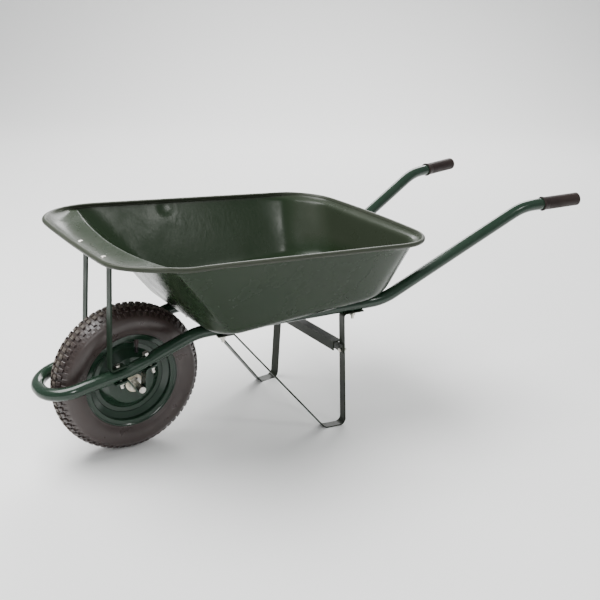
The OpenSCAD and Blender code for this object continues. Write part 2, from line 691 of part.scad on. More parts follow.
well_r = 88;
module wheel_rim() {
    t = wheel_sheet;
    tyre_face = [[well_r, 0], [well_r, 11.7], [seat_r, 18.2], [seat_r, 29.3], [flange_r - 2.5, 29.3],
                 [flange_r, 31.5], [flange_r, 34.5]];
    air_face = [[well_r - t, 0], [well_r - t, 13], [seat_r - t, 19.4], [seat_r - t, 29.9],
                [seat_r - 0.6, 29.3 + t], [flange_r - 3.5, 29.3 + t], [flange_r - t, 32.5],
                [flange_r - t, 34.5]];
    color(c_frame) placed() difference() {
        at_wheel() about_y() rotate_extrude() polygon(two_sided(tyre_face, air_face));
        at_valve() translate([0, 0, -12]) cylinder(r = valve_r + 0.3, h = 40);
    }
}

disc_edge_r = well_r - wheel_sheet;
web_r = 74;
face_r = 56;
web_y = 12;
face_y = 28;
hub_r = 17;
module wheel_disc() {
    t = wheel_sheet;
    about_y() rotate_extrude() polygon([
        [disc_edge_r, 4], [disc_edge_r, web_y - 1], [disc_edge_r - 1, web_y], [web_r + 1, web_y],
        [face_r + 1, face_y - 0.6], [face_r - 0.6, face_y], [hub_r, face_y], [hub_r, face_y - t],
        [face_r - 1.8, face_y - t], [web_r - 0.6, web_y - t], [disc_edge_r - t, web_y - t],
        [disc_edge_r - t, 4]]);
}
module right_wheel_disc() {
    color(c_frame) placed() at_wheel() wheel_disc();
}
module left_wheel_disc() {
    color(c_frame) placed() at_wheel() mirror([0, 1, 0]) wheel_disc();
}

hub_wall = 2.5;
module hub_tube() {
    color(c_frame) placed() at_wheel() about_y() translate([0, 0, -hub_len / 2])
        ring(hub_r, hub_r - hub_wall, hub_len);
}

bush_len = 26;
module bush() {
    r = hub_r - hub_wall;
    bore = axle_r + bush_gap;
    about_y() rotate_extrude() polygon([
        [bore, hub_len / 2 - bush_len], [r, hub_len / 2 - bush_len], [r, hub_len / 2],
        [bush_flange_d / 2, hub_len / 2], [bush_flange_d / 2, bush_end - 1],
        [bush_flange_d / 2 - 1, bush_end], [bore, bush_end]]);
}
module right_bush() {
    color(c_bush) placed() at_wheel() bush();
}
module left_bush() {
    color(c_bush) placed() at_wheel() mirror([0, 1, 0]) bush();
}

// Valve: leaves the rim's sloping wall and leans towards the left side of the wheel
valve_r = 5;
valve_lean = 26;
valve_start = [106.8, 9.3];
valve_len = 44;
cap_len = 11;
module at_valve() {
    at_wheel() rotate([0, -valve_angle, 0]) translate([valve_start[0], -valve_start[1], 0])
        rotate([0, 0, valve_lean]) rotate([0, -90, 0]) children();
}
core_r = 1.6;
module valve_stem() {
    color(c_rubber) placed() at_valve() rotate_extrude() polygon([
        [0, 0], [valve_r, 0], [valve_r, 20], [valve_r - 1, 26], [3.2, valve_len - cap_len - 1],
        [3.2, valve_len - 2], [core_r + 0.1, valve_len - 2], [core_r + 0.1, valve_len - 14],
        [0, valve_len - 14]]);
}
module valve_core() {
    color(c_zinc) placed() at_valve() translate([0, 0, valve_len - 14]) cylinder(r = core_r, h = 11);
}
module valve_cap() {
    color("#151515") placed() at_valve() translate([0, 0, valve_len - cap_len]) rotate_extrude() polygon([
        [3.3, 0], [4.4, 0], [4.4, cap_len - 1.5], [3.4, cap_len], [0, cap_len], [0, cap_len - 1.6],
        [3.3, cap_len - 1.6]]);
}

frame_tube();
left_grip();
right_grip();
tray();
left_leg();
right_leg();
leg_brace();
left_stay();
right_stay();
left_axle_strap();
right_axle_strap();
axle();
axle_washers();
split_pins();
strap_bolts();
strap_nuts();
tray_bolts();
tray_washers();
tray_nuts();
lip_bolts();
lip_nuts();
brace_bolts();
brace_nuts();
tyre();
inner_tube();
wheel_rim();
left_wheel_disc();
right_wheel_disc();
hub_tube();
left_bush();
right_bush();
valve_stem();
valve_core();
valve_cap();
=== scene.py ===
# %% [markdown]
# A builder's wheelbarrow, finished in cells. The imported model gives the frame: every piece already stands
# in its place, in metres, with +X towards the handles and the ground at Z = 0. The cells below first set
# up the view, then make the finishes, then remake the pieces whose shape needs more than flat CAD faces:
# the tray, the frame tube, the grips and the tyre.
# %% Load the frame
import json
from math import acos, atan2, cos, pi, radians, sin, sqrt, tan
import bmesh
import bpy
from mathutils import Matrix, Vector


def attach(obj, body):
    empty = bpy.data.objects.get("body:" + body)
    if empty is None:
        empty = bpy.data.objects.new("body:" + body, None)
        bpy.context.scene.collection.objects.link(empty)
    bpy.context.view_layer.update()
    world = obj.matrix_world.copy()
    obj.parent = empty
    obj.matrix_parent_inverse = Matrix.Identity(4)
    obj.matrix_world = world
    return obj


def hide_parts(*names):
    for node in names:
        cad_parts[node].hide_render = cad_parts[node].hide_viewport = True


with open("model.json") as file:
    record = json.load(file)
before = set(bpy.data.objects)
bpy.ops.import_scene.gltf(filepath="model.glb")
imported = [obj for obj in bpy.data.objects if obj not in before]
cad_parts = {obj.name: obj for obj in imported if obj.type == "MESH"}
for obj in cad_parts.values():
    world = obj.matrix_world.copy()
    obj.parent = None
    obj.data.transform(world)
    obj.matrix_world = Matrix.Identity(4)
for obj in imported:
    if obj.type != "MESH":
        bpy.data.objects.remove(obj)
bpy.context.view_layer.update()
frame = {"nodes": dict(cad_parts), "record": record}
record = frame["record"]
AXLE = Vector(record["behaviour"]["joints"][0]["pos_m"])
PITCH = radians(1.1)

# %% [markdown]
# The camera stands a little above the tray, to the left of the barrow and ahead of the wheel, so that the
# near side, the inside of the tray and the wheel all show. It is plain: no depth of field and no shift.
# %% Camera
camera_data = bpy.data.cameras.new("camera")
camera_data.lens = 56.87
camera_data.sensor_width = 36
camera = bpy.data.objects.new("camera", camera_data)
bpy.context.scene.collection.objects.link(camera)
camera.location = (-1.2684, -1.9023, 1.1108)
camera.rotation_euler = (radians(70.087), radians(-1.566), radians(-33.059))
bpy.context.scene.camera = camera
print("lens", camera_data.lens, "mm")

# %% [markdown]
# Gloss paint shows what is round it, so the studio matters as much as the paint. The floor runs up into a
# pale wall a long way behind the barrow. The rest of the room is dim, and each large soft lamp stands
# where one group of surfaces mirrors it: the inside of the tray, the tops of the tubes, the lip.
# %% Floor and lamps
def simple_material(name, colour, roughness):
    m = bpy.data.materials.new(name)
    m.use_nodes = True
    shader = m.node_tree.nodes["Principled BSDF"]
    shader.inputs["Base Color"].default_value = (*colour, 1)
    shader.inputs["Roughness"].default_value = roughness
    return m


def add_cove(near, far, half_width, height, heading, colour):
    """A floor that turns up into a wall at its far edge; heading is the way the wall lies."""
    bm = bmesh.new()
    bmesh.ops.create_grid(bm, x_segments=1, y_segments=1, size=1)
    for v in bm.verts:
        v.co = Vector((v.co.x * half_width, far if v.co.y > 0 else -near, 0))
    back = [e for e in bm.edges if all(v.co.y > 0 for v in e.verts)]
    raised_edge = bmesh.ops.extrude_edge_only(bm, edges=back)["geom"]
    for v in [g for g in raised_edge if isinstance(g, bmesh.types.BMVert)]:
        v.co.z += height
    fold = [e for e in bm.edges if all(v.co.y > 0 and v.co.z == 0 for v in e.verts)]
    bmesh.ops.bevel(bm, geom=fold, offset=2.0, segments=12, profile=0.5, affect="EDGES", material=-1)
    bmesh.ops.rotate(bm, verts=bm.verts, matrix=Matrix.Rotation(heading, 3, "Z"))
    mesh = bpy.data.meshes.new("cove")
    bm.to_mesh(mesh)
    bm.free()
    for face in mesh.polygons:
        face.use_smooth = True
    cove = bpy.data.objects.new("cove", mesh)
    bpy.context.scene.collection.objects.link(cove)
    mesh.materials.append(simple_material("cove", colour, 0.95))


def add_lamp(name, place, target, size, power, colour=(1, 1, 1)):
    lamp = bpy.data.lights.new(name, "AREA")
    lamp.shape = "RECTANGLE"
    lamp.size, lamp.size_y = size
    lamp.energy = power
    lamp.color = colour
    o = bpy.data.objects.new(name, lamp)
    bpy.context.scene.collection.objects.link(o)
    o.location = place
    o.rotation_euler = (Vector(target) - Vector(place)).to_track_quat("-Z", "Y").to_euler()


add_cove(7, 6, 12, 7, radians(-33), (0.92, 0.92, 0.91))
world = bpy.data.worlds.new("studio")
bpy.context.scene.world = world
world.use_nodes = True
world.node_tree.nodes["Background"].inputs["Color"].default_value = (0.95, 0.98, 1.0, 1)
world.node_tree.nodes["Background"].inputs["Strength"].default_value = 0.45
add_lamp("overhead", (-1.2, 0.5, 3.0), (0, 0, 0.2), (2.4, 2.0), 190)
add_lamp("into_tray", (0.85, -1.85, 2.05), (-0.2, 0.1, 0.4), (0.24, 0.22), 7, (1, 1, 0.97))
add_lamp("corner", (-1.3, -2.5, 1.75), (0, 0.1, 0.4), (0.6, 0.7), 24)
add_lamp("far", (2.4, 3.2, 3.0), (1.0, 1.2, 0), (3.0, 2.0), 210)

# %% [markdown]
# Two effects are shared by the finishes: a slow change of tone, from dust and from uneven paint, and rare
# small specks of grit. Each is a node group, built once, that puts out a mask, so that every finish can
# use it at its own scale.
# %% Shared effects
def new_group(name, inputs, outputs):
    tree = bpy.data.node_groups.new(name, "ShaderNodeTree")
    for label, value in inputs.items():
        kind = "NodeSocketVector" if value is None else "NodeSocketFloat"
        socket = tree.interface.new_socket(label, in_out="INPUT", socket_type=kind)
        if value is not None:
            socket.default_value = value
    for label in outputs:
        tree.interface.new_socket(label, in_out="OUTPUT", socket_type="NodeSocketFloat")
    return tree, tree.nodes.new("NodeGroupInput"), tree.nodes.new("NodeGroupOutput")


def noise(tree, vector, scale, detail=3.0, roughness=0.55):
    node = tree.nodes.new("ShaderNodeTexNoise")
    node.inputs["Detail"].default_value = detail
    node.inputs["Roughness"].default_value = roughness
    tree.links.new(vector, node.inputs["Vector"])
    if isinstance(scale, (int, float)):
        node.inputs["Scale"].default_value = scale
    else:
        tree.links.new(scale, node.inputs["Scale"])
    return node.outputs["Fac"]


def spread(tree, value, low, high):
    node = tree.nodes.new("ShaderNodeMapRange")
    node.inputs["From Min"].default_value = low
    node.inputs["From Max"].default_value = high
    tree.links.new(value, node.inputs["Value"])
    return node.outputs["Result"]


def build_mottle():
    tree, given, out = new_group("mottle", {"Vector": None, "Scale": 6.0}, ["Mask"])
    mask = spread(tree, noise(tree, given.outputs["Vector"], given.outputs["Scale"], 5), 0.35, 0.68)
    tree.links.new(mask, out.inputs["Mask"])
    return tree


def build_specks():
    tree, given, out = new_group("specks", {"Vector": None, "Scale": 90.0}, ["Mask"])
    mask = spread(tree, noise(tree, given.outputs["Vector"], given.outputs["Scale"], 2, 0.7), 0.66, 0.8)
    tree.links.new(mask, out.inputs["Mask"])
    return tree


mottle = build_mottle()
specks = build_specks()
print("groups:", [g.name for g in bpy.data.node_groups])

# %% [markdown]
# Each finish is one short function. The shader and its plain numbers stay in the material; the groups
# only feed the colour, the roughness and the height of the bump.
# %% How a finish is put together
def start_finish(name, roughness, metallic=0.0, specular=0.5):
    m = bpy.data.materials.new(name)
    m.use_nodes = True
    shader = m.node_tree.nodes["Principled BSDF"]
    shader.inputs["Roughness"].default_value = roughness
    shader.inputs["Metallic"].default_value = metallic
    shader.inputs["Specular IOR Level"].default_value = specular
    where = m.node_tree.nodes.new("ShaderNodeTexCoord").outputs["Object"]
    return m, m.node_tree, shader, where


def effect(tree, group, where, scale):
    node = tree.nodes.new("ShaderNodeGroup")
    node.node_tree = group
    node.inputs["Scale"].default_value = scale
    tree.links.new(where, node.inputs["Vector"])
    return node.outputs[0]


def stretched(tree, where, factors):
    node = tree.nodes.new("ShaderNodeMapping")
    node.inputs["Scale"].default_value = factors
    tree.links.new(where, node.inputs["Vector"])
    return node.outputs["Vector"]


def blend_colour(tree, mask, first, second):
    node = tree.nodes.new("ShaderNodeMix")
    node.data_type = "RGBA"
    tree.links.new(mask, node.inputs["Factor"])
    for socket, colour in ((node.inputs["A"], first), (node.inputs["B"], second)):
        if isinstance(colour, tuple):
            socket.default_value = (*colour, 1)
        else:
            tree.links.new(colour, socket)
    return node.outputs["Result"]


def levels(tree, mask, low, high):
    node = tree.nodes.new("ShaderNodeMapRange")
    node.inputs["To Min"].default_value = low
    node.inputs["To Max"].default_value = high
    tree.links.new(mask, node.inputs["Value"])
    return node.outputs["Result"]


def combined(tree, operation, a, b):
    node = tree.nodes.new("ShaderNodeMath")
    node.operation = operation
    tree.links.new(a, node.inputs[0])
    tree.links.new(b, node.inputs[1])
    return node.outputs[0]


def distance_from(tree, vector, centre):
    """How far each point lies from a centre."""
    shifted = tree.nodes.new("ShaderNodeMapping")
    shifted.inputs["Location"].default_value = [-c for c in centre]
    tree.links.new(vector, shifted.inputs["Vector"])
    length = tree.nodes.new("ShaderNodeVectorMath")
    length.operation = "LENGTH"
    tree.links.new(shifted.outputs["Vector"], length.inputs[0])
    return length.outputs["Value"]


def bump(tree, shader, height, distance, strength=1.0):
    node = tree.nodes.new("ShaderNodeBump")
    node.inputs["Distance"].default_value = distance
    node.inputs["Strength"].default_value = strength
    tree.links.new(height, node.inputs["Height"])
    tree.links.new(node.outputs["Normal"], shader.inputs["Normal"])


print("helpers ready for", len(frame["nodes"]), "CAD pieces")

# %% [markdown]
# The green paint is sprayed gloss enamel over pressed or bent steel. Enamel has a slight orange peel, a
# little dust, and pale specks where grit sits in it. The tray's sheet also keeps the fine upright marks
# of the press that drew it and one small dent high on the far wall. Its rolled edge and lip are painted
# paler, partly as rubbed wear and partly as a painted sheen, and the inside of the back wall is painted
# paler as a painted sheen. Two masks that its mesh carries say where: one for the paler paint and "inner".
# %% Paint finishes
GRIT_COLOUR = (0.3, 0.3, 0.26)
DENT_AT = (-0.243, 0.281, 0.49)
DENT_RADIUS = 0.036
DENT_DEPTH = 22.0
MARKS_DEPTH = 9.0


def mesh_mask(tree, name):
    node = tree.nodes.new("ShaderNodeAttribute")
    node.attribute_name = name
    return node.outputs["Fac"]


def drawing_marks(tree, where, strength):
    """Upright scratches, only in patches, as the press leaves them."""
    marks = noise(tree, stretched(tree, where, (1.0, 1.0, 0.05)), 120.0, 4)
    patch = levels(tree, effect(tree, mottle, where, 3.4), 0.0, strength)
    return combined(tree, "MULTIPLY", marks, patch)


def shallow_dent(tree, where):
    """A height that falls to nothing at the middle of the dent."""
    fade = tree.nodes.new("ShaderNodeMapRange")
    fade.interpolation_type = "SMOOTHERSTEP"
    fade.inputs["From Max"].default_value = DENT_RADIUS
    tree.links.new(distance_from(tree, where, DENT_AT), fade.inputs["Value"])
    return levels(tree, fade.outputs["Result"], 0.0, DENT_DEPTH)


def paint(name, base, dusty, roughness, peel, specular=0.5, worn=None):
    m, tree, shader, where = start_finish(name, roughness, specular=specular)
    tone = effect(tree, mottle, where, 5.0)
    grit = effect(tree, specks, where, 190.0)
    colour = blend_colour(tree, levels(tree, tone, 0.0, 0.6), base, dusty)
    colour = blend_colour(tree, levels(tree, grit, 0.0, 0.04), colour, GRIT_COLOUR)
    rough = levels(tree, effect(tree, mottle, where, 14.0), roughness - 0.05, roughness + 0.07)
    height = noise(tree, where, 90.0, 2)
    if worn:
        # Paler paint on the rolled edge and lip is rubbed wear and painted sheen; on the inside of the back
        # wall it is painted sheen only.
        paler_wear_and_sheen = combined(tree, "MULTIPLY", mesh_mask(tree, "wear_and_sheen"), levels(tree, tone, 0.75, 1.0))
        colour = blend_colour(tree, paler_wear_and_sheen, colour, worn)
        rough = combined(tree, "ADD", rough, levels(tree, paler_wear_and_sheen, 0.0, 0.14))
        marks = drawing_marks(tree, where, MARKS_DEPTH)
        marks = combined(tree, "MULTIPLY", mesh_mask(tree, "inner"), marks)
        height = combined(tree, "ADD", combined(tree, "ADD", height, marks), shallow_dent(tree, where))
    tree.links.new(colour, shader.inputs["Base Color"])
    tree.links.new(rough, shader.inputs["Roughness"])
    bump(tree, shader, height, peel)
    return m


# The tray's worn colour is the paler paint of the rubbed edge and lip, partly wear and partly painted
# sheen.
tray_paint = paint("tray_paint", (0.012, 0.023, 0.01), (0.017, 0.028, 0.014), 0.25, 0.00007, 0.2,
                   worn=(0.05, 0.052, 0.04))
frame_paint = paint("frame_paint", (0.01, 0.026, 0.015), (0.015, 0.031, 0.019), 0.17, 0.00005, 0.45)
leg_paint = paint("leg_paint", (0.011, 0.016, 0.009), (0.018, 0.021, 0.013), 0.4, 0.0001, 0.15)
stay_paint = paint("stay_paint", (0.01, 0.022, 0.013), (0.016, 0.026, 0.016), 0.45, 0.0001, 0.14)
print("paints:", tray_paint.name, frame_paint.name, leg_paint.name, stay_paint.name)

# %% [markdown]
# Tyre rubber is a warm brown-black with a faint bloom. The tops of the tread blocks are scuffed paler
# than the grooves, and the distance from the axle line tells the two apart. It comes straight from Object
# coordinates, since the wheel's mesh sits in place.
# %% Rubber finishes
BLOCK_FOOT, BLOCK_TOP = 0.1735, 0.1795


def from_axle(tree, where):
    """Distance from the axle line: the coordinate along the line is squeezed out first."""
    flat = stretched(tree, where, (1.0, 0.0, 1.0))
    return distance_from(tree, flat, (AXLE.x, 0, AXLE.z))


def rubber(name, base, bloom, roughness, scuffed=None):
    m, tree, shader, where = start_finish(name, roughness, specular=0.5 if scuffed else 0.3)
    colour = blend_colour(tree, levels(tree, effect(tree, mottle, where, 9.0), 0.0, 0.8), base, bloom)
    grit = effect(tree, specks, where, 210.0)
    colour = blend_colour(tree, levels(tree, grit, 0.0, 0.05), colour, (0.2, 0.18, 0.16))
    if scuffed:
        worn = spread(tree, from_axle(tree, where), BLOCK_FOOT, BLOCK_TOP)
        colour = blend_colour(tree, worn, colour, scuffed)
    tree.links.new(colour, shader.inputs["Base Color"])
    rough = levels(tree, effect(tree, mottle, where, 24.0), roughness - 0.08, roughness + 0.1)
    if scuffed:
        rough = combined(tree, "ADD", rough, levels(tree, worn, 0.0, 0.3))
    tree.links.new(rough, shader.inputs["Roughness"])
    bump(tree, shader, noise(tree, where, 420.0, 3), 0.0004, 0.6)
    return m


tyre_rubber = rubber("tyre_rubber", (0.028, 0.018, 0.016), (0.046, 0.034, 0.031), 0.34,
                     scuffed=(0.085, 0.07, 0.056))
tube_rubber = rubber("tube_rubber", (0.05, 0.036, 0.034), (0.075, 0.06, 0.056), 0.55)
grip_rubber = rubber("grip_rubber", (0.014, 0.008, 0.007), (0.024, 0.015, 0.012), 0.55)
black_plastic = rubber("black_plastic", (0.008, 0.008, 0.008), (0.014, 0.014, 0.013), 0.5)
print("rubbers:", tyre_rubber.name, tube_rubber.name, grip_rubber.name, black_plastic.name)

# %% [markdown]
# Zinc plating is bright but never a mirror: it is a fine grey crystal with duller, yellower patches. Nylon
# lets a little light in, so its bushes look creamy and soft.
# %% Zinc and nylon
def zinc_plate():
    m, tree, shader, where = start_finish("zinc", 0.3, metallic=1.0)
    patch = effect(tree, mottle, where, 120.0)
    tree.links.new(blend_colour(tree, patch, (0.66, 0.65, 0.61), (0.45, 0.43, 0.38)),
                   shader.inputs["Base Color"])
    tree.links.new(levels(tree, patch, 0.24, 0.48), shader.inputs["Roughness"])
    bump(tree, shader, noise(tree, where, 900.0, 3), 0.0002, 0.5)
    return m


def cream_nylon():
    m, tree, shader, where = start_finish("nylon", 0.38)
    shader.inputs["Subsurface Weight"].default_value = 0.12
    shader.inputs["Subsurface Radius"].default_value = (0.004, 0.003, 0.002)
    patch = effect(tree, mottle, where, 60.0)
    tree.links.new(blend_colour(tree, patch, (0.74, 0.68, 0.54), (0.55, 0.49, 0.37)),
                   shader.inputs["Base Color"])
    bump(tree, shader, noise(tree, where, 500.0, 2), 0.0002, 0.4)
    return m


zinc = zinc_plate()
nylon = cream_nylon()
print("finishes made:", len(bpy.data.materials))

# %% [markdown]
# The CAD pieces whose shape is right as it stands keep their mesh and take a finish by the slot that the
# record gives them. The stays have a duller green than the tube. The rest are replaced further down.
# %% Dress the CAD pieces
FINISH = {"tray_paint": tray_paint, "frame_paint": frame_paint, "leg_paint": leg_paint, "zinc": zinc,
          "grip_rubber": grip_rubber, "tyre_rubber": tyre_rubber, "tube_rubber": tube_rubber,
          "nylon": nylon, "black_plastic": black_plastic}
slot_of = {part["node"]: part["material_slot"] for part in record["subparts"]}
for node_name, node in frame["nodes"].items():
    node.data.materials.clear()
    flat_bar = node_name.endswith("_stay")
    node.data.materials.append(stay_paint if flat_bar else FINISH[slot_of[node_name]])
print(len(frame["nodes"]), "CAD pieces dressed")

# %% [markdown]
# Sizes are given as on a shop drawing: millimetres, measured back from the axle, up from the ground and
# out from the middle, before the whole frame is pitched up until its feet stand level. placed() does that
# last step, so each mesh lands exactly where the frame says.
# %% From drawing to place
def placed(x, y, z):
    up = z / 1000 - AXLE.z
    return Vector((AXLE.x + x / 1000 * cos(PITCH) - up * sin(PITCH), y / 1000,
                   AXLE.z + up * cos(PITCH) + x / 1000 * sin(PITCH)))


def finish_piece(bm, name, material, body, smooth=True, stands_for=()):
    """Turns a bmesh into a finished object at the origin that rides on a body."""
    mesh = bpy.data.meshes.new(name)
    bm.to_mesh(mesh)
    bm.free()
    for face in mesh.polygons:
        face.use_smooth = smooth
    mesh.materials.append(material)
    piece = bpy.data.objects.new(name, mesh)
    bpy.context.scene.collection.objects.link(piece)
    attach(piece, body)
    if stands_for:
        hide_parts(*stands_for)
    print(name, len(mesh.polygons), "faces")
    return piece


def closed_ring(bm, points):
    """A closed loop of edges through the points."""
    verts = [bm.verts.new(p) for p in points]
    return [bm.edges.new((v, verts[(i + 1) % len(verts)])) for i, v in enumerate(verts)]


def skin_rings(bm, rings):
    for a, b in zip(rings, rings[1:]):
        bmesh.ops.bridge_loops(bm, edges=a + b)


print("a point on the ground under the axle:", [round(v, 4) for v in placed(0, 0, 0)])

# %% [markdown]
# The tray is one pressed sheet. A press draws it from a flat blank, so it has no seams: a flat floor, a
# wide curve up into sloping walls, a shallow dished lip at the front, and an edge rolled outwards over a
# wire. It is skinned here through closed outlines, from the middle of the floor up the inside, round the
# rolled edge and back down the outside one sheet lower, and then smoothed by a subdivision surface.
# %% Outlines of the tray
SHEET = 1.2
BEAD = 6.0
EASE = 0.55
RIM_FRONT, RIM_BACK = (-105, 291), (691, 281)
FLOOR_FRONT, FLOOR_BACK = (146, 194), (657, 194)


def mix(a, b, t):
    return a + (b - a) * t


def bezier(a, b, c, d, t):
    return a * (1 - t) ** 3 + b * 3 * t * (1 - t) ** 2 + c * 3 * t * t * (1 - t) + d * t ** 3


def half_outline(front, rear, front_cut, rear_cut, bow):
    """Plan outline from the middle of the front to the middle of the back, with eased corners."""
    f, b = Vector(front), Vector(rear)
    along = (b - f).normalized()
    f0, f1 = Vector((f.x, f.y - front_cut[0])), f + along * front_cut[1]
    b0, b1 = b - along * rear_cut[1], Vector((b.x, b.y - rear_cut[0]))
    points = [mix(Vector((f.x, 0)), f0, i / 5) for i in range(5)]
    points += [bezier(f0, mix(f0, f, EASE), mix(f1, f, EASE), f1, i / 11) for i in range(11)]
    points += [mix(f1, b0, i / 10) for i in range(10)]
    points += [bezier(b0, mix(b0, b, EASE), mix(b1, b, EASE), b1, i / 10) for i in range(10)]
    points += [mix(b1, Vector((b.x, 0)), i / 5) for i in range(6)]
    middle = (f.x + b.x) / 2
    return [Vector((p.x + (bow * (1 - (p.y / b.y) ** 2) if p.x > middle else 0), p.y)) for p in points]


def both_halves(half):
    return half + [Vector((p.x, -p.y)) for p in half[-2:0:-1]]


rim = both_halves(half_outline(RIM_FRONT, RIM_BACK, (122, 172), (101, 102), bow=17))
foot = both_halves(half_outline(FLOOR_FRONT, FLOOR_BACK, (66, 66), (118, 118), bow=8))
print(len(rim), "stations round the tray")

# %% [markdown]
# The tray is deeper at the front than at the back, because it has to hold a load while the barrow is
# tipped up by its handles. So its floor follows the two tubes it sits on, which rise towards the handles,
# while its rim falls. At the front the sheet folds out into a dished lip for pouring, and at the back it
# flares into a narrow flange.
# %% Heights of the tray
TUBE_R = 15
DECK_START = Vector((143, 287.4))
DECK_SLOPE = 0.0265
RIM_HIGH, RIM_LOW = 529, 470
LIP_DIP = 9.6
LIP_FOLD_X, LIP_FOLD_Z, LIP_DISH_Z = -18, 506, 499
LIP_HALF = 265
FILLET = 32
BELOW_BEAD = 14
BACK_FLANGE = 17


def share(value):
    return min(1, max(0, value))


def rim_height(p):
    behind_front = p.x - RIM_FRONT[0]
    dip = LIP_DIP * share(1 - behind_front / 200) * max(0, 1 - (p.y / RIM_FRONT[1]) ** 2)
    return RIM_HIGH - (RIM_HIGH - RIM_LOW) * behind_front / (RIM_BACK[0] - RIM_FRONT[0]) - dip


def floor_height(x):
    deck = DECK_START.y + DECK_SLOPE * (x - DECK_START.x)
    return deck + (TUBE_R + SHEET) * sqrt(1 + DECK_SLOPE ** 2)


def lip_depth(p):
    """How far the front fold lies behind a point of the rim."""
    return LIP_FOLD_X + 22 * (p.y / LIP_HALF) ** 2 - p.x


def facing(plan, i):
    """Plan direction square to the outline at station i, pointing out of the tray."""
    a, b = plan[i - 1], plan[(i + 1) % len(plan)]
    out = Vector((b.y - a.y, a.x - b.x)).normalized()
    return out if out.dot(plan[i] - Vector((300, 0))) > 0 else -out


def raised(p, z):
    return Vector((p.x, p.y, z))


def inner_line(i):
    """The sheet's inner face at station i, from the floor to just inside the rolled edge."""
    q, f, out = rim[i], foot[i], facing(rim, i)
    edge, base = raised(q, rim_height(q)), raised(f, floor_height(f.x))
    lip = lip_depth(q)
    if lip > BELOW_BEAD:
        fold_z = LIP_FOLD_Z + 12 * (q.y / LIP_HALF) ** 2
        fold = Vector((q.x + lip, q.y * (1 - 0.0005 * lip), fold_z))
    else:
        inset = BACK_FLANGE * share((q.x - 560) / 90)
        fold = edge + (base - edge).normalized() * BELOW_BEAD - raised(out, 0) * inset
    side, up = facing(foot, i), (fold - base).normalized()
    flat = base - FILLET * Vector((side.x, side.y, DECK_SLOPE * side.x))
    wall = base + FILLET * up
    dish = share((lip - BELOW_BEAD) / 71)
    dish_z = LIP_DISH_Z + 13 * min(1, (q.y / 200) ** 4)
    a, b = mix(fold, edge, 0.35), mix(fold, edge, 0.72)
    a.z, b.z = mix(a.z, dish_z, dish), mix(b.z, dish_z, dish)
    into, out_of = mix(flat, base, 2 / 3), mix(wall, base, 2 / 3)
    curve = [bezier(flat, into, out_of, wall, k / 5) for k in range(6)]
    crisp = share(lip / 40)
    tight = mix(wall, fold, mix(0.9, 0.955, crisp)), fold, mix(fold, a, mix(0.6, 0.14, crisp))
    return curve + [mix(wall, fold, 0.33), mix(wall, fold, 0.66), *tight, a, b]


lines = [inner_line(i) for i in range(len(rim))]
print(len(lines[0]), "points up the inside at each station")

# %% [markdown]
# The rolled edge stiffens the tray and keeps its raw edge away from hands. Here it is an open ring that
# starts where the inner face ends and comes back to one sheet's thickness from it. The outside follows
# the inside at the same distance. Two shallow knocks make it a tray that has been handled.
# %% The rolled edge and the outside of the sheet
ROLL_STEPS = 11


def run_out(i, v):
    out = facing(rim, i)
    return v.x * out.x + v.y * out.y


def outside_point(i, k):
    line = lines[i]
    d = line[min(k + 1, len(line) - 1)] - line[max(k - 1, 0)]
    square = Vector((run_out(i, d), d.z)).normalized()
    out = facing(rim, i)
    return line[k] + SHEET * Vector((out.x * square.y, out.y * square.y, -square.x))


def rolled_points(i):
    q, out = rim[i], facing(rim, i)
    centre = raised(q, rim_height(q))
    d = centre - lines[i][-1]
    first = atan2(d.z, run_out(i, d)) + pi / 2
    sweep = 2 * pi - acos(1 - SHEET / BEAD)
    turns = [first - sweep * k / ROLL_STEPS for k in range(ROLL_STEPS + 1)]
    return [centre + BEAD * Vector((out.x * cos(a), out.y * cos(a), sin(a))) for a in turns]


def dented(p, centre, radius, push):
    """Moves a point by push, fading to nothing at the radius."""
    near = max(0, 1 - (p - Vector(centre)).length / radius)
    return p + Vector(push) * near ** 2 * (3 - 2 * near)


KNOCKS = [((32, -291, 518), 50, (0, 4, -4)), ((120, 284, 470), 60, (0, 3, 0))]


def knocked(p):
    for centre, radius, push in KNOCKS:
        p = dented(p, centre, radius, push)
    return p


# Share of paler paint, from the last point under the bead inwards: rubbed wear and painted sheen
# at the edge and lip, and painted sheen only on the inside of the back wall
LIP_WEAR_AND_SHEEN = (0.6, 0.3, 0.22, 0.18, 0.06)
WALL_WEAR_AND_SHEEN = (0.5, 0.3, 0.1)
BEAD_WEAR_AND_SHEEN, PAINTED_BACK_WALL_SHEEN = 0.75, 0.42


def wear_and_sheen_share(i, k):
    """How far the paint at station i, point k is painted paler: the bead most, then the lip, from wear and
    painted sheen, and the back wall, from painted sheen only.
    """
    last = len(lines[i]) - 1
    if k > last:
        return BEAD_WEAR_AND_SHEEN if k <= last + ROLL_STEPS + 1 else 0.0
    wear = LIP_WEAR_AND_SHEEN if lip_depth(rim[i]) > 40 else WALL_WEAR_AND_SHEEN
    edge = wear[last - k] if last - k < len(wear) else 0.0
    # The inside of the back wall gets paler paint that stands in for a sheen: a painted sheen, not wear.
    back_wall = PAINTED_BACK_WALL_SHEEN * share((rim[i].x - 600) / 60) if k > 5 else 0.0
    return max(edge, back_wall)


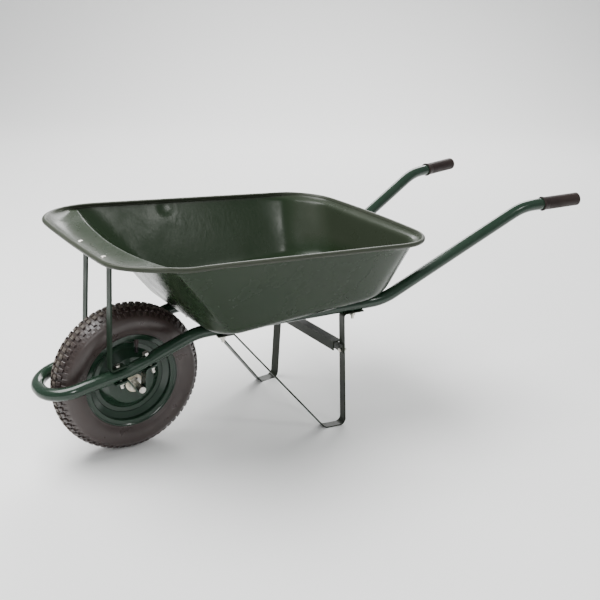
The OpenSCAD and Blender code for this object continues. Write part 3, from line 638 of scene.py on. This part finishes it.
def tray_sheet():
    bm = bmesh.new()
    wear_and_sheen = bm.verts.layers.float.new("wear_and_sheen")
    inner = bm.verts.layers.float.new("inner")
    columns = []
    for i, line in enumerate(lines):
        under = [outside_point(i, k) for k in range(len(line) - 1, -1, -1)]
        columns.append([placed(*knocked(p)) for p in line + rolled_points(i) + under])
    rings = [closed_ring(bm, points) for points in zip(*columns)]
    for k, ring in enumerate(rings):
        for i, e in enumerate(ring):
            e.verts[0][wear_and_sheen] = wear_and_sheen_share(i, k)
            e.verts[0][inner] = 1.0 if 4 < k < len(lines[i]) - 4 else 0.0
    skin_rings(bm, rings)
    for ring in (rings[0], rings[-1]):
        face = bmesh.ops.contextual_create(bm, geom=ring)["faces"]
        for width in (0.02, 0.06):
            bmesh.ops.inset_region(bm, faces=face, thickness=width, use_even_offset=True)
    bmesh.ops.recalc_face_normals(bm, faces=bm.faces)
    return bm


tray = finish_piece(tray_sheet(), "tray_pan", tray_paint, "barrow", stands_for=["tray"])
smoothing = tray.modifiers.new("smoothing", "SUBSURF")
smoothing.levels = smoothing.render_levels = 2

# %% [markdown]
# The frame is one length of steel tube, bent cold. A polyline through the bend points is rounded at each
# bend, and a circle swept along it. Where the axle straps are bolted on, the bolts have pulled the tube a
# little flat, which shows as broken streaks of light on it.
# %% Route of the tube
LOOP_SLOPE, RISE_SLOPE, HANDLE_SLOPE, GRIP_SLOPE = 0.18, 0.355, 0.5, 0.0268
SPREAD = 0.1585
LONG_BEND, KINK_BEND, LOOP_BEND = 150, 90, 66


def height_at(x, start, slope):
    """Height of a straight run at x, when it leaves the point start at a slope."""
    return start.z + slope * (x - start.x)


def along_side(x, start, slope):
    """Point of a side tube, which spreads outwards from the front of the tray to the grips."""
    return Vector((x, deck_front.y + SPREAD * (x - deck_front.x), height_at(x, start, slope)))


loop_end = Vector((-134.4, 70.2, 208.1))
loop_corner = Vector((-204.6, 67.7, height_at(-204.6, loop_end, LOOP_SLOPE)))
kink = Vector((-25, 76.2, height_at(-25, loop_end, LOOP_SLOPE)))
deck_front = Vector((DECK_START.x, 84, height_at(DECK_START.x, kink, RISE_SLOPE)))
deck_rear = along_side(624, deck_front, DECK_SLOPE)
handle_top = along_side(1021.8, deck_rear, HANDLE_SLOPE)
tube_end = along_side(1190, handle_top, GRIP_SLOPE)
half_route = [tube_end, handle_top, deck_rear, deck_front, kink, loop_corner]
half_bends = [0, LONG_BEND, LONG_BEND, LONG_BEND, KINK_BEND, LOOP_BEND]
corners = half_route + [Vector((p.x, -p.y, p.z)) for p in half_route[::-1]]
bend_radii = half_bends + half_bends[::-1]


def rounded_route(points, radii, step=radians(4), gap=14):
    """Points along the polyline with each corner replaced by an arc, no further apart than gap."""
    path = [points[0]]
    for before, p, after, r in zip(points, points[1:], points[2:], radii[1:-1]):
        d1, d2 = (p - before).normalized(), (after - p).normalized()
        turn = d1.angle(d2)
        start, inward = p - d1 * r * tan(turn / 2), (d2 - d1 * d1.dot(d2)).normalized()
        count = max(2, round(turn / step))
        path += [start + inward * r * (1 - cos(turn * k / count)) + d1 * r * sin(turn * k / count)
                 for k in range(count + 1)]
    path.append(points[-1])
    fine = [path[0]]
    for p in path[1:]:
        pieces = max(1, int((p - fine[-1]).length / gap))
        fine += [mix(fine[-1], p, k / pieces) for k in range(1, pieces)] + [p]
    return fine


centreline = rounded_route(corners, bend_radii)
print(len(centreline), "points along the tube")

# %% [markdown]
# Rings of points stand square to the route and are skinned together. A ring flattens a little towards a
# bolt and in the front loop, so that the light breaks there as it does on real bent tube.
# %% Sweep the tube
STRAP_BOLTS = (-47, 23)
LOOP_FRONT = -190
WIDENING = 0.35


def tube_squash(p):
    """Share by which the bolts and the front bend flatten the tube at a point of its centreline."""
    bolts = [0.2 * share(1 - abs(p.x - x) / 26) for x in STRAP_BOLTS]
    return max(bolts + [0.05 * share(1 - abs(p.x - LOOP_FRONT) / 60)])


def swept_tube(path, radius, sides=32):
    bm = bmesh.new()
    rings = []
    for i, p in enumerate(path):
        d = (path[min(i + 1, len(path) - 1)] - path[max(i - 1, 0)]).normalized()
        across = d.cross(Vector((0, 0, 1))).normalized()
        up = across.cross(d)
        flat = tube_squash(p)
        ring = []
        for k in range(sides):
            a = 2 * pi * k / sides
            sideways = across * radius * (1 + flat * WIDENING) * cos(a)
            ring.append(placed(*(p + sideways + up * radius * (1 - flat) * sin(a))))
        rings.append(closed_ring(bm, ring))
    skin_rings(bm, rings)
    return bm, rings


def frame_tube():
    bm, rings = swept_tube(centreline, TUBE_R)
    for ring in (rings[0], rings[-1]):
        bmesh.ops.contextual_create(bm, geom=ring)
    bmesh.ops.recalc_face_normals(bm, faces=bm.faces)
    return bm


finish_piece(frame_tube(), "bent_tube", frame_paint, "barrow", stands_for=["frame_tube"])

# %% [markdown]
# A grip is a moulded sleeve pushed over the tube's end. It is turned from one outline by a full spin about
# the tube: a rounded closed end, fine rings to hold on to, and a thicker collar where it stops.
# %% Grips
def turned(outline, steps):
    """A solid of revolution about Z from [radius, height] points that start and end on the axis."""
    bm = bmesh.new()
    verts = [bm.verts.new((r / 1000, 0, z / 1000)) for r, z in outline]
    edges = [bm.edges.new(pair) for pair in zip(verts, verts[1:])]
    bmesh.ops.spin(bm, geom=verts + edges, cent=(0, 0, 0), axis=(0, 0, 1), angle=2 * pi,
                   steps=steps, use_merge=True)
    bmesh.ops.remove_doubles(bm, verts=bm.verts, dist=1e-6)
    bmesh.ops.recalc_face_normals(bm, faces=bm.faces)
    return bm


GRIP_LEN, GRIP_R, GRIP_ROUND, GRIP_BORE = 115, 17, 3, 15.1
GRIP_END_WALL = 4
RING_DEPTH = 0.35


def grip_outline():
    turns = [radians(a) for a in range(0, 91, 15)]
    flat_end = GRIP_R - GRIP_ROUND
    end = [(0, 0)] + [(flat_end + GRIP_ROUND * sin(a), GRIP_ROUND - GRIP_ROUND * cos(a)) for a in turns]
    ribs = []
    for z in range(12, 100, 4):
        groove = GRIP_R - RING_DEPTH
        ribs += [(GRIP_R, z), (groove, z + 0.7), (groove, z + 1.3), (GRIP_R, z + 2)]
    collar = [(GRIP_R, GRIP_LEN - 6), (GRIP_R + 1.6, GRIP_LEN - 3.5), (GRIP_R + 1.9, GRIP_LEN - 1),
              (GRIP_R + 1.2, GRIP_LEN), (GRIP_BORE, GRIP_LEN), (GRIP_BORE, GRIP_LEN - 4), (0, GRIP_LEN - 4)]
    return end + ribs + collar


def grip(side):
    bm = turned(grip_outline(), 48)
    d = (tube_end - handle_top).normalized()
    outer = tube_end + d * GRIP_END_WALL
    there, back = (placed(p.x, side * p.y, p.z) for p in (outer, outer - d))
    turn = (back - there).to_track_quat("Z", "Y").to_matrix().to_4x4()
    bmesh.ops.transform(bm, matrix=Matrix.Translation(there) @ turn, verts=bm.verts)
    return bm


for side, label in ((-1, "left"), (1, "right")):
    finish_piece(grip(side), label + "_handle_grip", grip_rubber, "barrow",
                 stands_for=[label + "_grip"])

# %% [markdown]
# A barrow tyre has small square blocks across its crown and longer lugs that run down over the shoulder.
# The smooth carcass is a full spin of one outline about the axle. One row of blocks is made from bevelled
# cubes, bent to the crown, and a second spin copies that row round the wheel.
# %% Tyre carcass
CROWN, BELLY, HALF = 180.0, 142.0, 42.5
BELOW_BELLY = 44
TREAD_DEPTH = 5.0
BEAD_SEAT = 103


def crown_point(a, lower=0.0):
    """Radius and offset from the middle, at angle a up from the tyre's widest part."""
    high = CROWN - BELLY if a > 0 else BELOW_BELLY
    return Vector((BELLY + (high - lower) * sin(a), (HALF - lower * 0.35) * cos(a)))


def carcass_outline():
    """From the middle of the crown down one wall, round the bead and back to the middle."""
    wall = []
    for a in range(90, -38, -4):
        wall.append(crown_point(radians(a), TREAD_DEPTH * share((a - 24) / 18)))
    last = wall[-1]
    bead = [(last.x - 1.5, last.y - 0.4), (113.6, 34.5), (113.4, 31.2), (110.3, 29.4)]
    return [tuple(p) for p in wall] + bead + [(BEAD_SEAT, 29), (BEAD_SEAT, 0)]


def spun_about_axle(outline, steps):
    bm = bmesh.new()
    for s in (1, -1):
        verts = [bm.verts.new((AXLE.x, s * y / 1000, AXLE.z + r / 1000)) for r, y in outline]
        edges = [bm.edges.new(pair) for pair in zip(verts, verts[1:])]
        bmesh.ops.spin(bm, geom=verts + edges, cent=AXLE, axis=(0, 1, 0), angle=2 * pi,
                       steps=steps, use_merge=True)
    bmesh.ops.remove_doubles(bm, verts=bm.verts, dist=1e-6)
    bmesh.ops.recalc_face_normals(bm, faces=bm.faces)
    return bm


carcass = spun_about_axle(carcass_outline(), 120)
finish_piece(carcass, "tyre_carcass", tyre_rubber, "wheel", stands_for=["tyre"])

# %% [markdown]
# The blocks stand in four columns. The outer two are set a third of a pitch on from the inner two, so that
# a block is always on the ground. A longer lug carries the pattern over each shoulder.
# %% Tread blocks
ROWS = 68
ROW_ANGLE = 2 * pi / ROWS
# Each block: outline angles it runs between, and where it starts and ends in its row's pitch
CROWN_BLOCKS = [(70, 86, 0.1, 0.62), (94, 110, 0.1, 0.62), (50, 66, 0.42, 0.94), (114, 130, 0.42, 0.94)]
SHOULDER_LUGS = [(20, 45, 0.12, 0.58), (135, 160, 0.12, 0.58)]


def block_point(p, a0, a1, t0, t1, depth):
    """Bends a corner of a unit cube to its place on the crown."""
    a = radians(mix(a0, a1, p.x + 0.5))
    side = 1 if a <= pi / 2 else -1
    b = a if side == 1 else pi - a
    top, base = crown_point(b), crown_point(b, depth + 1.5)
    r, y = mix(base, top, p.z + 0.5)
    turn = ROW_ANGLE * mix(t0, t1, p.y + 0.5)
    return Vector((AXLE.x + r / 1000 * sin(turn), side * y / 1000, AXLE.z + r / 1000 * cos(turn)))


def tread():
    bm = bmesh.new()
    for blocks, depth in ((CROWN_BLOCKS, TREAD_DEPTH), (SHOULDER_LUGS, 4.0)):
        for a0, a1, t0, t1 in blocks:
            cube = bmesh.ops.create_cube(bm, size=1)["verts"]
            edges = {e for v in cube for e in v.link_edges}
            upper = [e for e in edges if all(v.co.z > 0 for v in e.verts)]
            made = bmesh.ops.bevel(bm, geom=upper, offset=0.11, offset_type="OFFSET", segments=1,
                                   profile=0.5, affect="EDGES", material=-1, clamp_overlap=True)
            for v in set(cube + made["verts"]):
                if v.is_valid:
                    v.co = block_point(v.co, a0, a1, t0, t1, depth)
    row = bm.verts[:] + bm.edges[:] + bm.faces[:]
    bmesh.ops.spin(bm, geom=row, cent=AXLE, axis=(0, 1, 0), angle=2 * pi - ROW_ANGLE, steps=ROWS - 1,
                   use_duplicate=True)
    bmesh.ops.recalc_face_normals(bm, faces=bm.faces)
    return bm


finish_piece(tread(), "tread_blocks", tyre_rubber, "wheel", smooth=False)
